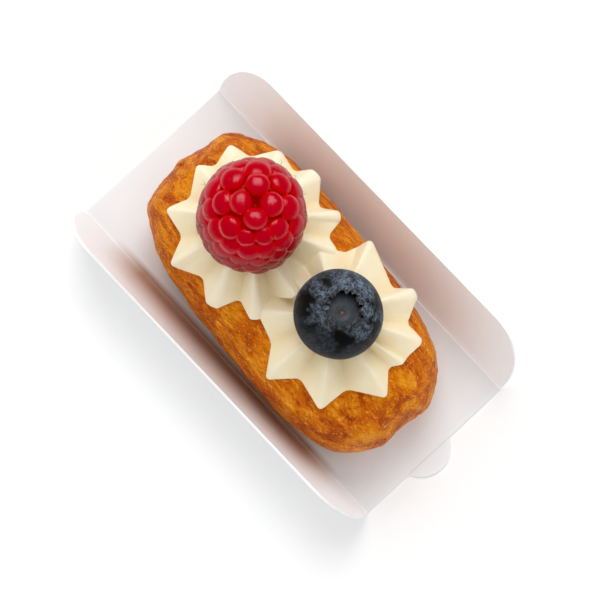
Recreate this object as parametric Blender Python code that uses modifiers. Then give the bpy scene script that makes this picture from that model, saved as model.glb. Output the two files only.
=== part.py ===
"""A mini eclair as it is handed over: a choux shell with two piped cream stars on it, one
under a raspberry and one under a blueberry, in a folded card case with a pull tab.

Metres, +Z up. The origin is under the middle of the case, where it rests. +X runs along
the eclair towards the pull tab, and +Y towards one of the two upturned card sides.
"""

from math import acos, asin, atan2, cos, pi, radians, sin, sqrt, tan

import bmesh
import bpy
import numpy as np
from mathutils import Matrix, Vector, noise

MM = 0.001

# Clearance between pieces that touch
GAP = 0.0003

# Card case: one panel, two sides folded up, and a round pull tab at the +X end
CARD_LENGTH = 0.0827
CARD_WIDTH = 0.0367
CARD_THICKNESS = 0.0005
FOLD_RADIUS = 0.0008
SIDE_HEIGHT = 0.018
SIDE_CORNER_LENGTH = 0.0098
SIDE_CORNER_HEIGHT = 0.0151
SIDE_SLOPE_FRONT = (radians(71.0), radians(73.0))
SIDE_SLOPE_BACK = (radians(69.4), radians(67.4))
TAB_CHORD = 0.0108
TAB_REACH = 0.0036
TAB_CENTRE_Y = -0.0014
CARD_ROWS = 8
CORNER_STEPS = 7
FOLD_STEPS = 4
TAB_STEPS = 10

# Choux shell: a long loaf with a flat foot, lying slightly turned in its case
CHOUX_HALF_LENGTH = 0.0346
CHOUX_HALF_WIDTH = 0.0173
CHOUX_SQUARENESS = 3.34
CHOUX_TURN = radians(-4.2)
CHOUX_CENTRE_X = 0.0003
CHOUX_WIDEST = 0.0105
CHOUX_TOP = 0.0245
CHOUX_DOME_FULLNESS = 2.4
CHOUX_FOOT_SHARE = 0.76
CHOUX_FOOT_HEIGHT = CARD_THICKNESS + GAP
CHOUX_ROUNDED_SHARE = 0.6
CHOUX_SPINE = CHOUX_HALF_LENGTH - CHOUX_HALF_WIDTH
FACETS_PER_TURN = 10
FACET_DEPTH = 1.3
FACET_PHASE = {1: 2.68, -1: 0.7}
CRUST_RELIEF = 0.00035
CRUST_LUMP_SIZE = 0.0045
CRUST_FINE_SHARE = 0.5
CRUST_SMOOTH_ABOVE_FOOT = 0.004
CHOUX_SEGMENTS = 80
CHOUX_RINGS = 18

# Cream: two stars from a toothed nozzle. Round each star go its petals, each as the bearing of
# its tip in degrees from +X, its reach and its blunt tip's width in mm, then the bearing and the
# reach of the valley after it.
RASPBERRY_STAR_CENTRE = (-0.01257, 0.00162)
RASPBERRY_STAR_PETALS = (
    (-147.2, 17.1, 0.9, -128.4, 13.9),
    (-112.0, 16.9, 0.9, -90.6, 13.3),
    (-72.4, 16.3, 2.6, -54.4, 13.8),
    (-41.2, 17.2, 2.2, -27.0, 13.6),
    (-13.0, 15.6, 1.2, 10.0, 13.0),
    (32.0, 16.2, 1.6, 43.0, 14.6),
    (58.8, 17.0, 1.8, 69.5, 13.7),
    (91.0, 16.8, 2.4, 104.6, 14.5),
    (120.3, 16.7, 1.4, 139.0, 14.6),
    (152.1, 17.5, 0.9, 167.5, 14.7),
    (177.6, 16.6, 0.8, 199.4, 13.8),
)
BLUEBERRY_STAR_CENTRE = (0.0109, 0.00105)
BLUEBERRY_STAR_PETALS = (
    (-140.0, 14.6, 1.2, -115.0, 12.8),
    (-93.8, 16.6, 0.9, -74.2, 12.9),
    (-52.5, 16.8, 0.9, -33.2, 13.4),
    (-9.2, 17.2, 0.9, 6.0, 13.7),
    (15.5, 15.2, 0.8, 19.5, 15.3),
    (34.7, 16.9, 1.4, 47.0, 14.0),
    (67.9, 16.6, 2.0, 80.0, 13.2),
    (113.4, 17.4, 1.0, 130.0, 13.6),
    (149.0, 14.8, 1.2, 166.0, 12.9),
    (184.0, 14.4, 1.2, 202.0, 12.6),
)
PETAL_VALLEY_WIDTH = 0.0007
PETAL_LIFT = 0.0013
VALLEY_LIFT = 0.0005
PETAL_LOWEST = 0.0203
PETAL_THICKNESS = 0.0016
CROWN_HEIGHT = 0.0292
GROOVE_DEPTH = 0.0028
# The star's rings above its underside: share of the reach, and share of the climb to the crown
STAR_UNDERSIDE_SHARE = 0.93
STAR_RINGS = ((1.0, -0.03), (0.985, 0.02), (0.86, 0.31), (0.72, 0.64), (0.56, 0.93), (0.34, 1.0))

# Raspberry: rings of flattened drupelets on an egg-shaped core, tip up. It is rounder above its
# widest line than below it, and in plan it is slightly longer one way.
RASPBERRY_CENTRE = Vector((-0.0135, 0.0023, 0.0342))
RASPBERRY_TILT = (radians(-6.0), radians(2.0))
RASPBERRY_HALF_WIDTH = 0.00905
RASPBERRY_RISE = 0.0103
RASPBERRY_DROP = 0.0062
RASPBERRY_FULLNESS_ABOVE = 2.4
RASPBERRY_FULLNESS_BELOW = 4.0
RASPBERRY_LONGER = 0.022
RASPBERRY_LONG_BEARING = radians(137)
CORE_GROWTH = 0.0004
CORE_SEGMENTS = 20
CORE_RINGS = 12
# Each ring of drupelets: its angle from the tip and its bearings, in degrees
DRUPELET_TIP_RINGS = (
    (18, (45, 132, 225, 317)),
    (37, (0, 45, 91, 132, 178, 224, 267, 301, 331)),
)
# The rings below: angle from the tip, how many, and the bearing of the first
DRUPELET_SIDE_RINGS = (
    (57, 13, 0),
    (76, 15, 8),
    (94, 16, 20),
    (110, 15, 8),
    (126, 12, 15),
)
DRUPELET_HALF_LENGTH = 0.0026
DRUPELET_HALF_WIDTH = 0.0027
DRUPELET_HALF_DEPTH = 0.002
DRUPELET_HEIGHT = 0.0016
DRUPELET_SIZES = (0.94, 1.07)
DRUPELET_STRAY = 2.0
DRUPELET_SEED = 11
DRUPELET_SUBDIVISIONS = 2

# Blueberry: a flattened ball with a crown round its hollow end
BLUEBERRY_CENTRE = Vector((0.0111, 0.0016, 0.0329))
BLUEBERRY_TILT = (radians(-8.0), radians(7.0))
BLUEBERRY_RADIUS = 0.0085
BLUEBERRY_HALF_HEIGHT = 0.0066
CALYX_FLOOR_RADIUS = 0.0027
CALYX_WALL_RADIUS = 0.0034
CALYX_RIM_RADII = (0.0029, 0.0034, 0.0037, 0.0046)
CALYX_DEPTH = 0.0014
CALYX_RIM_HEIGHT = 0.00045
CALYX_LOWEST_LOBE = 0.5
CALYX_LOBES = 5
CALYX_LOBE_TURN = 0.6
CALYX_RING_CROWDING = 0.3
BLUEBERRY_SEGMENTS = 30
BLUEBERRY_RINGS = 22
ENVELOPE_SEGMENTS = 32
ENVELOPE_RINGS = 16
SHARP_EDGE = radians(40)


def clear_scene():
    for old in list(bpy.data.objects):
        bpy.data.objects.remove(old, do_unlink=True)


def new_collection(name, shown=True):
    collection = bpy.data.collections.new(name)
    bpy.context.scene.collection.children.link(collection)
    collection.hide_render = not shown
    return collection


def principled(name, colour, roughness, subsurface=0.0):
    """A plain Principled material in one colour."""
    material = bpy.data.materials.new(name)
    material.use_nodes = True
    shader = material.node_tree.nodes["Principled BSDF"]
    shader.inputs["Base Color"].default_value = (*colour, 1.0)
    shader.inputs["Roughness"].default_value = roughness
    shader.inputs["Metallic"].default_value = 0.0
    shader.inputs["Subsurface Weight"].default_value = subsurface
    return material


def mesh_object(name, bm, collection, material=None):
    mesh = bpy.data.meshes.new(name)
    bm.to_mesh(mesh)
    bm.free()
    mesh.shade_smooth()
    mesh.set_sharp_from_angle(angle=SHARP_EDGE)
    obj = bpy.data.objects.new(name, mesh)
    collection.objects.link(obj)
    if material:
        mesh.materials.append(material)
    return obj


def limited(value, low, high):
    return min(max(value, low), high)


def smooth_step(low, high, value):
    share = limited((value - low) / (high - low), 0.0, 1.0)
    return share * share * (3 - 2 * share)


# Card case


def card_side_slope(side, along):
    """The slope of a side at a share of the length: the two sides are twisted a little."""
    low, high = SIDE_SLOPE_BACK if side > 0 else SIDE_SLOPE_FRONT
    return low + (high - low) * along


def card_stations():
    """Distances across the unfolded card, from the front side's top edge to the back one's."""
    slope = sum(SIDE_SLOPE_BACK) / 2
    panel_half = CARD_WIDTH / 2 - FOLD_RADIUS * tan(slope / 2)
    fold = FOLD_RADIUS * slope
    side = SIDE_HEIGHT - FOLD_RADIUS * tan(slope / 2)
    straight = SIDE_HEIGHT - SIDE_CORNER_HEIGHT
    quarter = [sin(pi / 2 * step / CORNER_STEPS) for step in range(CORNER_STEPS + 1)]
    corner = [straight + SIDE_CORNER_HEIGHT * share for share in quarter]
    half = [panel_half + fold * step / FOLD_STEPS for step in range(FOLD_STEPS + 1)]
    half += [panel_half + fold + side - SIDE_HEIGHT + height for height in corner]
    tab = [TAB_CENTRE_Y - TAB_CHORD / 2 * cos(pi * step / TAB_STEPS) for step in range(TAB_STEPS + 1)]
    stations = [-distance for distance in reversed(half)] + tab + half
    return stations, panel_half, fold


def card_end(distance, panel_half, fold):
    """How far the card reaches along X at a distance across it: (towards -X, towards +X)."""
    half_length = CARD_LENGTH / 2
    up = abs(distance) - panel_half - fold + FOLD_RADIUS * tan(sum(SIDE_SLOPE_BACK) / 4)
    rise = (up - (SIDE_HEIGHT - SIDE_CORNER_HEIGHT)) / SIDE_CORNER_HEIGHT
    if rise > 0:
        half_length -= SIDE_CORNER_LENGTH * (1 - sqrt(max(1 - rise * rise, 0.0)))
    radius = (TAB_CHORD**2 / 4 + TAB_REACH**2) / (2 * TAB_REACH)
    across = distance - TAB_CENTRE_Y
    tab = 0.0
    if abs(across) < TAB_CHORD / 2:
        tab = sqrt(radius**2 - across**2) - (radius - TAB_REACH)
    return -half_length, half_length + tab


def card_point(distance, along, panel_half, fold):
    """The underside of the card at a distance across it and a share of its length."""
    side = 1 if distance > 0 else -1
    slope = card_side_slope(side, along)
    radius = fold / slope
    low, high = card_end(distance, panel_half, fold)
    x = low + (high - low) * along
    beyond = abs(distance) - panel_half
    if beyond <= 0:
        return Vector((x, distance, 0.0))
    turned = slope * min(beyond / fold, 1.0)
    straight = max(beyond - fold, 0.0)
    y = panel_half + radius * sin(turned) + straight * cos(slope)
    z = radius * (1 - cos(turned)) + straight * sin(slope)
    return Vector((x, side * y, z))


def make_card_case(collection):
    stations, panel_half, fold = card_stations()
    bm = bmesh.new()
    bmesh.ops.create_grid(bm, x_segments=CARD_ROWS, y_segments=len(stations) - 1, size=1.0)
    for vert in bm.verts:
        station = round((vert.co.y + 1) / 2 * (len(stations) - 1))
        vert.co = card_point(stations[station], (vert.co.x + 1) / 2, panel_half, fold)
    obj = mesh_object("card_case", bm, collection, principled("white_card", (0.86, 0.85, 0.84), 0.45))
    thickness = obj.modifiers.new("card thickness", "SOLIDIFY")
    thickness.thickness = CARD_THICKNESS
    thickness.offset = 1.0
    thickness.use_even_offset = True


# Choux shell


def choux_edge(turn):
    """The widest outline in the shell's own frame: a squarish oval whose round ends are faceted,
    each facet as deep as a chord between its corners, times FACET_DEPTH."""
    c, s = cos(turn), sin(turn)
    power = CHOUX_SQUARENESS
    radius = (abs(c / CHOUX_HALF_LENGTH) ** power + abs(s / CHOUX_HALF_WIDTH) ** power) ** (-1 / power)
    x, y = radius * c, radius * s
    past_spine = abs(x) - CHOUX_SPINE
    end = limited(past_spine / CHOUX_HALF_WIDTH, 0.0, 1.0)
    phase = FACET_PHASE[1 if x > 0 else -1]
    from_middle = ((FACETS_PER_TURN * atan2(y, past_spine) + phase) % (2 * pi) - pi) / FACETS_PER_TURN
    chord = cos(pi / FACETS_PER_TURN) / cos(from_middle) - 1
    stretch = 1 + FACET_DEPTH * CHOUX_HALF_WIDTH * chord * end / radius
    return x * stretch, y * stretch


def choux_section(latitude):
    """(inset share, height) of the shell at a latitude from -90 degrees, its foot, to +90."""
    if latitude >= 0:
        power = 2 / CHOUX_DOME_FULLNESS
        height = CHOUX_WIDEST + (CHOUX_TOP - CHOUX_WIDEST) * sin(latitude) ** power
        return max(cos(latitude), 0.0) ** power, height
    down = -latitude / (pi / 2)
    if down > CHOUX_ROUNDED_SHARE:
        return CHOUX_FOOT_SHARE * (1 - down) / (1 - CHOUX_ROUNDED_SHARE), CHOUX_FOOT_HEIGHT
    turn = down / CHOUX_ROUNDED_SHARE * pi / 2
    share = CHOUX_FOOT_SHARE + (1 - CHOUX_FOOT_SHARE) * cos(turn)
    return share, CHOUX_WIDEST - (CHOUX_WIDEST - CHOUX_FOOT_HEIGHT) * sin(turn)


def choux_to_case(x, y):
    """From the shell's own frame to the case's, which it lies slightly turned in."""
    c, s = cos(CHOUX_TURN), sin(CHOUX_TURN)
    return c * x - s * y + CHOUX_CENTRE_X, s * x + c * y


def choux_point(direction):
    turn = atan2(direction.y * CHOUX_HALF_WIDTH, direction.x * CHOUX_HALF_LENGTH)
    share, height = choux_section(asin(limited(direction.z, -1.0, 1.0)))
    edge_x, edge_y = choux_edge(turn)
    spine_x = limited(edge_x, -CHOUX_SPINE, CHOUX_SPINE) * (1 - (1 - share) ** 3)
    x, y = choux_to_case(spine_x + (edge_x - spine_x) * share, edge_y * share)
    return Vector((x, y, height))


def choux_mesh(grow=0.0):
    """The shell, or a copy that is larger all round by grow."""
    bm = bmesh.new()
    bmesh.ops.create_uvsphere(bm, u_segments=CHOUX_SEGMENTS, v_segments=CHOUX_RINGS, radius=1.0)
    for vert in bm.verts:
        vert.co = choux_point(vert.co.normalized())
    bm.normal_update()
    smooth_below = CHOUX_FOOT_HEIGHT + CRUST_SMOOTH_ABOVE_FOOT
    moves = []
    for vert in bm.verts:
        at = vert.co / CRUST_LUMP_SIZE
        lump = noise.noise(at) + CRUST_FINE_SHARE * noise.noise(at * 2)
        above_foot = smooth_step(CHOUX_FOOT_HEIGHT, smooth_below, vert.co.z)
        moves.append(vert.normal * (CRUST_RELIEF * lump * above_foot + grow))
    for vert, move in zip(bm.verts, moves):
        vert.co += move
    return bm


def crust_height(x, y):
    """How high the smooth top of the shell is above a point of the case."""
    c, s = cos(CHOUX_TURN), sin(CHOUX_TURN)
    x -= CHOUX_CENTRE_X
    along, across = c * x + s * y, -s * x + c * y
    past_spine = max(abs(along) - CHOUX_SPINE, 0.0)
    share = min(sqrt(past_spine**2 + across**2) / CHOUX_HALF_WIDTH, 1.0)
    rise = (1 - share**CHOUX_DOME_FULLNESS) ** (1 / CHOUX_DOME_FULLNESS)
    return CHOUX_WIDEST + (CHOUX_TOP - CHOUX_WIDEST) * rise


# Piped cream


def star_outline(centre, petals):
    """The star's edge seen from above: for each petal two points of its blunt tip and two of the
    valley after it, each with a mark that is 1 on the tip and 0 in the valley."""
    middle = Vector(centre)
    corners = []
    for tip_bearing, tip_reach, tip_width, valley_bearing, valley_reach in petals:
        corners.append((radians(tip_bearing), tip_reach * MM, tip_width * MM, 1.0))
        corners.append((radians(valley_bearing), valley_reach * MM, PETAL_VALLEY_WIDTH, 0.0))
    points = []
    for bearing, distance, width, mark in corners:
        outward = Vector((cos(bearing), sin(bearing)))
        sideways = Vector((-outward.y, outward.x))
        for side in (-0.5, 0.5):
            points.append((middle + outward * distance + sideways * width * side, mark))
    return points


def make_star(name, centre, petals, collection):
    """A ball whose rings are drawn out to the star's edge and climb to its crown. A groove runs
    up from each valley, and the edge hangs a little above the crust."""
    outline = star_outline(centre, petals)
    middle = Vector(centre)
    last = len(STAR_RINGS) + 2
    bm = bmesh.new()
    bmesh.ops.create_uvsphere(bm, u_segments=len(outline), v_segments=last, radius=1.0)
    for vert in bm.verts:
        ring = last - round(acos(limited(vert.co.z, -1.0, 1.0)) / pi * last)
        step = round(atan2(vert.co.y, vert.co.x) / (2 * pi) * len(outline)) % len(outline)
        edge, mark = outline[step]
        lift = VALLEY_LIFT + (PETAL_LIFT - VALLEY_LIFT) * mark
        edge_height = max(crust_height(*edge) + lift, PETAL_LOWEST)
        if ring == 0:
            vert.co = (*middle, PETAL_LOWEST - PETAL_THICKNESS)
        elif ring == 1:
            vert.co = (*middle.lerp(edge, STAR_UNDERSIDE_SHARE), edge_height - PETAL_THICKNESS)
        elif ring < last:
            share, climb = STAR_RINGS[ring - 2]
            crown = CROWN_HEIGHT - GROOVE_DEPTH * (1 - mark)
            vert.co = (*middle.lerp(edge, share), edge_height + (crown - edge_height) * climb)
        else:
            vert.co = (*middle, CROWN_HEIGHT)
    return mesh_object(name, bm, collection)


def keep_outer_shell(mesh):
    """Fills the hollows that fusing sealed: only the connected surface with most points stays."""
    bm = bmesh.new()
    bm.from_mesh(mesh)
    unseen = set(bm.verts)
    shells = []
    while unseen:
        shell = set()
        front = [next(iter(unseen))]
        while front:
            vert = front.pop()
            if vert not in shell:
                shell.add(vert)
                front.extend(edge.other_vert(vert) for edge in vert.link_edges)
        unseen -= shell
        shells.append(shell)
    outer = max(shells, key=len)
    bmesh.ops.delete(bm, geom=[vert for vert in bm.verts if vert not in outer], context="VERTS")
    bm.to_mesh(mesh)
    bm.free()


def fuse(name, parts, material):
    """Joins the parts into one object by one Boolean union, and removes the parts."""
    gathered = new_collection(name + " parts", shown=False)
    first, rest = parts[0], parts[1:]
    for part in rest:
        for holder in list(part.users_collection):
            holder.objects.unlink(part)
        gathered.objects.link(part)
    union = first.modifiers.new("one piece", "BOOLEAN")
    union.operation = "UNION"
    union.operand_type = "COLLECTION"
    union.collection = gathered
    union.solver = "EXACT"
    bpy.context.view_layer.update()
    graph = bpy.context.evaluated_depsgraph_get()
    mesh = bpy.data.meshes.new_from_object(first.evaluated_get(graph))
    keep_outer_shell(mesh)
    first.modifiers.clear()
    first.data = mesh
    first.name = mesh.name = name
    mesh.materials.clear()
    mesh.materials.append(material)
    for part in rest:
        bpy.data.objects.remove(part, do_unlink=True)
    bpy.data.collections.remove(gathered)
    return first


def cut_clear(obj, cutters):
    """Cuts the room for its neighbours out of the object."""
    for cutter in cutters:
        cutter.hide_render = True
        cutter.display_type = "WIRE"
        cut = obj.modifiers.new("clear of " + cutter.name, "BOOLEAN")
        cut.operation = "DIFFERENCE"
        cut.object = cutter
        cut.solver = "EXACT"


def make_cream(collection):
    stars = [
        make_star("raspberry star", RASPBERRY_STAR_CENTRE, RASPBERRY_STAR_PETALS, collection),
        make_star("blueberry star", BLUEBERRY_STAR_CENTRE, BLUEBERRY_STAR_PETALS, collection),
    ]
    return fuse("piped_cream", stars, principled("vanilla_cream", (0.84, 0.74, 0.54), 0.4, 0.3))


# Raspberry


def leaned(point, tilt):
    """A point turned about X and then Y by the tilt of its berry."""
    return Matrix.Rotation(tilt[1], 3, "Y") @ Matrix.Rotation(tilt[0], 3, "X") @ Vector(point)


def raspberry_core(angle, bearing, extra=0.0):
    """Distance of the core's surface from its middle, at an angle from the tip and a bearing."""
    above = angle < pi / 2
    rise = RASPBERRY_RISE if above else RASPBERRY_DROP
    power = RASPBERRY_FULLNESS_ABOVE if above else RASPBERRY_FULLNESS_BELOW
    across = abs(sin(angle) / (RASPBERRY_HALF_WIDTH + extra)) ** power
    along = abs(cos(angle) / (rise + extra)) ** power
    longer = 1 + RASPBERRY_LONGER * cos(2 * (bearing - RASPBERRY_LONG_BEARING)) * sin(angle)
    return (across + along) ** (-1 / power) * longer


def egg(name, collection, extra, segments, rings):
    """The raspberry's smooth core, or an envelope round it."""
    bm = bmesh.new()
    bmesh.ops.create_uvsphere(bm, u_segments=segments, v_segments=rings, radius=1.0)
    for vert in bm.verts:
        way = vert.co.normalized()
        distance = raspberry_core(acos(limited(way.z, -1.0, 1.0)), atan2(way.y, way.x), extra)
        vert.co = RASPBERRY_CENTRE + leaned(way * distance, RASPBERRY_TILT)
    return mesh_object(name, bm, collection)


def drupelet_places():
    """(angle from the tip, bearing, size) of every drupelet, each a little astray."""
    rings = list(DRUPELET_TIP_RINGS)
    for angle, count, first in DRUPELET_SIDE_RINGS:
        rings.append((angle, [first + 360 * index / count for index in range(count)]))
    draw = np.random.default_rng(DRUPELET_SEED)
    for angle, bearings in rings:
        for bearing in bearings:
            astray = draw.uniform(-DRUPELET_STRAY, DRUPELET_STRAY, 2)
            yield radians(angle + astray[0]), radians(bearing + astray[1]), draw.uniform(*DRUPELET_SIZES)


def make_drupelet(angle, bearing, size, collection):
    """A flattened ball whose top stands one drupelet's height above the core."""
    outward = Vector((sin(angle) * cos(bearing), sin(angle) * sin(bearing), cos(angle)))
    across = Vector((-sin(bearing), cos(bearing), 0.0))
    down = across.cross(outward)
    middle = outward * (raspberry_core(angle, bearing) + (DRUPELET_HEIGHT - DRUPELET_HALF_DEPTH) * size)
    bm = bmesh.new()
    bmesh.ops.create_icosphere(bm, subdivisions=DRUPELET_SUBDIVISIONS, radius=size)
    for vert in bm.verts:
        sideways = down * (vert.co.x * DRUPELET_HALF_LENGTH) + across * (vert.co.y * DRUPELET_HALF_WIDTH)
        upright = middle + sideways + outward * (vert.co.z * DRUPELET_HALF_DEPTH)
        vert.co = RASPBERRY_CENTRE + leaned(upright, RASPBERRY_TILT)
    return mesh_object("drupelet", bm, collection)


def make_raspberry(collection):
    parts = [egg("raspberry core", collection, CORE_GROWTH, CORE_SEGMENTS, CORE_RINGS)]
    for angle, bearing, size in drupelet_places():
        parts.append(make_drupelet(angle, bearing, size, collection))
    return fuse("raspberry", parts, principled("raspberry_red", (0.46, 0.012, 0.02), 0.35, 0.2))


# Blueberry


def calyx_relief(distance, bearing):
    """Height added to the berry's top: a hollow with a rim of uneven lobes round it."""
    wave = cos(CALYX_LOBES * bearing + CALYX_LOBE_TURN)
    lobes = CALYX_LOWEST_LOBE + (1 - CALYX_LOWEST_LOBE) * (1 + wave) / 2
    hollow = -CALYX_DEPTH * (1 - smooth_step(CALYX_FLOOR_RADIUS, CALYX_WALL_RADIUS, distance))
    foot, crest, slope, outside = CALYX_RIM_RADII
    rim = smooth_step(foot, crest, distance) * (1 - smooth_step(slope, outside, distance))
    return hollow + CALYX_RIM_HEIGHT * lobes * rim


def make_blueberry(collection):
    bm = bmesh.new()
    bmesh.ops.create_uvsphere(bm, u_segments=BLUEBERRY_SEGMENTS, v_segments=BLUEBERRY_RINGS, radius=1.0)
    for vert in bm.verts:
        angle = acos(limited(vert.co.z, -1.0, 1.0))
        if angle < pi / 2:
            # The rings lie closer together round the hollow
            angle -= CALYX_RING_CROWDING * sin(2 * angle)
        bearing = atan2(vert.co.y, vert.co.x)
        radius = BLUEBERRY_RADIUS * sin(angle)
        height = BLUEBERRY_HALF_HEIGHT * cos(angle)
        if angle < pi / 2:
            height += calyx_relief(radius, bearing)
        upright = (radius * cos(bearing), radius * sin(bearing), height)
        vert.co = BLUEBERRY_CENTRE + leaned(upright, BLUEBERRY_TILT)
    skin = principled("blueberry_skin", (0.025, 0.03, 0.045), 0.5)
    return mesh_object("blueberry", bm, collection, skin)


def blueberry_envelope(collection):
    """A plain flattened ball, larger than the berry by the clearance."""
    bm = bmesh.new()
    bmesh.ops.create_uvsphere(bm, u_segments=ENVELOPE_SEGMENTS, v_segments=ENVELOPE_RINGS, radius=1.0)
    size = Vector((BLUEBERRY_RADIUS + GAP, BLUEBERRY_RADIUS + GAP, BLUEBERRY_HALF_HEIGHT + GAP))
    for vert in bm.verts:
        vert.co = BLUEBERRY_CENTRE + leaned(vert.co * size, BLUEBERRY_TILT)
    return mesh_object("blueberry envelope", bm, collection)


def main():
    clear_scene()
    model = new_collection("mini_eclair")
    cutters = new_collection("cutters", shown=False)

    make_card_case(model)
    mesh_object("choux_shell", choux_mesh(), model, principled("baked_choux", (0.52, 0.22, 0.045), 0.5))
    cream = make_cream(model)
    make_raspberry(model)
    make_blueberry(model)

    raspberry_room = DRUPELET_HEIGHT * DRUPELET_SIZES[1] + GAP
    cut_clear(cream, [
        mesh_object("choux envelope", choux_mesh(GAP), cutters),
        egg("raspberry envelope", cutters, raspberry_room, ENVELOPE_SEGMENTS, ENVELOPE_RINGS),
        blueberry_envelope(cutters),
    ])


main()
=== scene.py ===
# %% [markdown]
# This lesson dresses a mini eclair in its folded card case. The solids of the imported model
# give the sizes and places. Each solid is then replaced by a finer surface of the same form,
# worked out with numpy, because crust, cream and berries live from detail that a coarse
# solid can't hold. All lengths are in metres, and MM keeps the small ones readable.

import bpy
import numpy as np
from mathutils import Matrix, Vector


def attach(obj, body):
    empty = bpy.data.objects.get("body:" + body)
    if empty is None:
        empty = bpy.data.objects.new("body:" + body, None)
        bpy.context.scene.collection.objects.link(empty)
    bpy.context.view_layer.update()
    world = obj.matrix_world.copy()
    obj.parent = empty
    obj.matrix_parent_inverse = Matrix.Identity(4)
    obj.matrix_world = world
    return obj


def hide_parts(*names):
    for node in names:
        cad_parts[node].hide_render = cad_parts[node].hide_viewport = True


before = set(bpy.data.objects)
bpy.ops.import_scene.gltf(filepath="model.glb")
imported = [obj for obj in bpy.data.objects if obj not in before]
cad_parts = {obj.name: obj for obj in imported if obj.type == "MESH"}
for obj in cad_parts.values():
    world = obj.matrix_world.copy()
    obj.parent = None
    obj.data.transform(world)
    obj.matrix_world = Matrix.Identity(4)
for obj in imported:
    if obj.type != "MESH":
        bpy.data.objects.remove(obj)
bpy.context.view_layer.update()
MM = 0.001
print("packed nodes:", sorted(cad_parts))

# %% [markdown]
# Every piece below is a grid of points: rows run up the piece and columns run round it. The
# grid could be joined by hand in a mesh editor. Whole arrays are quicker, and they let a
# formula place thousands of points at once. Columns wrap round, and a first or last row
# whose points all coincide becomes one pole.

# %% Helpers that turn a grid of points into a mesh
def smooth_step(low, high, value):
    """Eases from 0 at low to 1 at high, flat at both ends."""
    share = np.clip((value - low) / (high - low), 0.0, 1.0)
    return share * share * (3 - 2 * share)


def toward(tilt, turn):
    """Unit vectors that lean from straight up by tilt, to the bearing turn."""
    flat = np.sin(tilt)
    return np.stack(np.broadcast_arrays(flat * np.cos(turn), flat * np.sin(turn), np.cos(tilt)), -1)


def between(keys, values, at):
    """Straight lines through (key, value) pairs, read at every entry of an array."""
    return np.interp(at, keys, values)


def softened(values, spread):
    """A closed ring of values blurred by a bell curve that is spread steps wide."""
    count = len(values)
    steps = (np.arange(count) + count // 2) % count - count // 2
    bell = np.exp(-0.5 * (steps / spread) ** 2)
    wave = np.fft.rfft(bell / bell.sum()).reshape(-1, *[1] * (values.ndim - 1))
    return np.fft.irfft(np.fft.rfft(values, axis=0) * wave, count, axis=0)


def closed_grid(name, grid, **marks):
    """A closed skin from a (rows, columns, 3) grid whose columns wrap and whose first and
    last rows are poles. Each mark is a (rows, columns) array, kept as a point attribute."""
    rows, columns = grid.shape[:2]
    middle = grid[1:-1].reshape(-1, 3)
    points = np.concatenate([middle, grid[:1, 0], grid[-1:, 0]])
    here = np.arange((rows - 2) * columns).reshape(rows - 2, columns)
    right = np.roll(here, -1, axis=1)
    quads = np.stack([here[:-1], right[:-1], right[1:], here[1:]], -1).reshape(-1, 4)
    low, high = len(middle), len(middle) + 1
    low_fan = np.stack([np.full(columns, low), right[0], here[0]], -1)
    high_fan = np.stack([np.full(columns, high), here[-1], right[-1]], -1)
    mesh = bpy.data.meshes.new(name)
    mesh.from_pydata(points, [], quads.tolist() + low_fan.tolist() + high_fan.tolist())
    for mark, values in marks.items():
        flat = np.concatenate([values[1:-1].ravel(), values[:1, 0], values[-1:, 0]])
        attribute = mesh.attributes.new(mark, "FLOAT", "POINT")
        attribute.data.foreach_set("value", flat.astype(np.float32))
    return show(name, mesh)


def put_in(name, data):
    obj = bpy.data.objects.new(name, data)
    bpy.context.scene.collection.objects.link(obj)
    return obj


def show(name, mesh):
    mesh.update()
    mesh.shade_smooth()
    print(name, len(mesh.polygons), "faces")
    return put_in(name, mesh)


def grid_normals(grid):
    """Outward directions of a closed grid: the cross product of the step round it and the
    step up it, with straight down and straight up at the poles."""
    round_it = np.roll(grid, -1, axis=1) - np.roll(grid, 1, axis=1)
    up_it = np.gradient(grid, axis=0)
    normals = np.cross(round_it, up_it)
    normals /= np.linalg.norm(normals, axis=-1, keepdims=True) + 1e-12
    normals[0] = (0, 0, -1)
    normals[-1] = (0, 0, 1)
    return normals


def settle(obj, node, material):
    """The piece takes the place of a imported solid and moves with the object's one body."""
    obj.data.materials.clear()
    obj.data.materials.append(material)
    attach(obj, "root")
    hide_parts(node)
    print(obj.name, "takes the place of", node, "in", material.name)


# %% [markdown]
# Baked and torn surfaces are never regular. Gradient noise gives that unevenness as a
# smooth random field: round numbers decide a direction at each corner of a lattice of
# cubes, and a point between them blends what those eight directions say.

# %% Noise on whole arrays
CORNER_PRIMES = (374761393, 668265263, 1274126177)
HASH_MIXER = 1103515245
SLOPE_BITS = 10


def noise(points, size, seed=0):
    """Smooth noise of about -0.7 to 0.7 whose lumps are size across."""
    scaled = points / size + 31.7 * seed
    cell = np.floor(scaled).astype(np.int64)
    inside = scaled - cell
    ease = inside**3 * (inside * (inside * 6 - 15) + 10)
    total = np.zeros(points.shape[:-1])
    for corner in np.ndindex(2, 2, 2):
        number = ((cell + corner) * CORNER_PRIMES).sum(-1) + 977 * seed
        number = ((number ^ (number >> 13)) * HASH_MIXER) & 0x3FFFFFFF
        number = ((number ^ (number >> 15)) * HASH_MIXER) & 0x3FFFFFFF
        weight = np.ones(points.shape[:-1])
        slope = np.zeros(points.shape[:-1])
        for axis in range(3):
            part = (number >> (SLOPE_BITS * axis)) & (2**SLOPE_BITS - 1)
            slope += (part / 2 ** (SLOPE_BITS - 1) - 1) * (inside[..., axis] - corner[axis])
            ease_here = ease[..., axis]
            weight *= ease_here if corner[axis] else 1 - ease_here
        total += weight * slope
    return total


# %% [markdown]
# A material is a small graph of nodes that ends in one shader. The helpers below add a
# node, a colour ramp or a blend of two colours, so that each finish further down reads as
# a short list of what the eye sees on the real food.

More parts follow.
